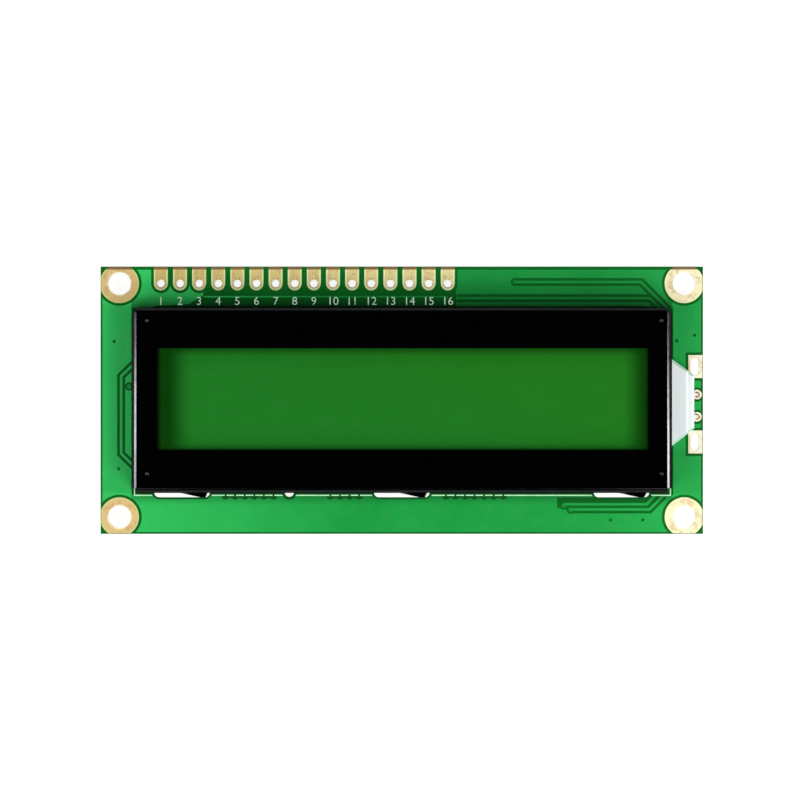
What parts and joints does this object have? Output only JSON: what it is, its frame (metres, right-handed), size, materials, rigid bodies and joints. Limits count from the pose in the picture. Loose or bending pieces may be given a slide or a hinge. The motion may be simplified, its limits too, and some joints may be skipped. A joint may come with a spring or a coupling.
{
  "type": "character lcd module",
  "caption": "Rectangular circuit board with a black steel bezel around a wide green display window, a row of header pads and corner mounting holes.",
  "frame": {"origin": "centre of the four mounting holes, on the board's rear face", "axes": "+X along the board's long side, to the right with the display facing the viewer; +Y towards the edge with the header row; +Z out of the display"},
  "size_m": [0.08, 0.0356, 0.0105],
  "materials": {
    "solder_mask": "satin",
    "gold_plate": "satin",
    "tinned_wire": "satin",
    "black_paint": "satin",
    "housing_plastic": "matt",
    "white_film": "matt",
    "clear_plastic": "gloss",
    "lamp_board": "satin",
    "lamp": "matt",
    "polariser": "satin",
    "cell_glass": "gloss",
    "sealant": "satin",
    "strip_rubber": "matt",
    "silicon": "gloss",
    "black_epoxy": "satin",
    "resistor_body": "satin",
    "capacitor_body": "matt"
  },
  "bodies": {
    "root": {"circuit_board": "solder_mask", "mounting_pad_upper_left": "gold_plate", "mounting_pad_upper_right": "gold_plate", "mounting_pad_lower_left": "gold_plate", "mounting_pad_lower_right": "gold_plate", "header_pad_01": "gold_plate", "header_pad_02": "gold_plate", "header_pad_03": "gold_plate", "header_pad_04": "gold_plate", "header_pad_05": "gold_plate", "header_pad_06": "gold_plate", "header_pad_07": "gold_plate", "header_pad_08": "gold_plate", "header_pad_09": "gold_plate", "header_pad_10": "gold_plate", "header_pad_11": "gold_plate", "header_pad_12": "gold_plate", "header_pad_13": "gold_plate", "header_pad_14": "gold_plate", "header_pad_15": "gold_plate", "header_pad_16": "gold_plate", "supply_pad_upper": "gold_plate", "supply_pad_lower": "gold_plate", "pin_pad_upper": "gold_plate", "pin_pad_lower": "gold_plate", "backlight_lead_upper": "tinned_wire", "backlight_lead_lower": "tinned_wire", "bezel": "black_paint", "backlight_housing": "housing_plastic", "reflector_film": "white_film", "light_guide": "clear_plastic", "diffuser_film": "white_film", "led_board": "lamp_board", "backlight_led_1": "lamp", "backlight_led_2": "lamp", "backlight_led_3": "lamp", "rear_polariser": "polariser", "lower_glass": "cell_glass", "upper_glass": "cell_glass", "front_polariser": "polariser", "fill_port_seal": "sealant", "conductive_strip_upper": "strip_rubber", "conductive_strip_lower": "strip_rubber", "contact_row_upper": "gold_plate", "contact_row_lower": "gold_plate", "controller_die": "silicon", "driver_die": "silicon", "controller_blob": "black_epoxy", "driver_blob": "black_epoxy", "ladder_resistor_1": "resistor_body", "ladder_resistor_2": "resistor_body", "ladder_resistor_3": "resistor_body", "ladder_resistor_4": "resistor_body", "ladder_resistor_5": "resistor_body", "clock_resistor": "resistor_body", "backlight_resistor": "resistor_body", "supply_capacitor": "capacitor_body", "contrast_capacitor": "capacitor_body"}
  },
  "joints": []
}
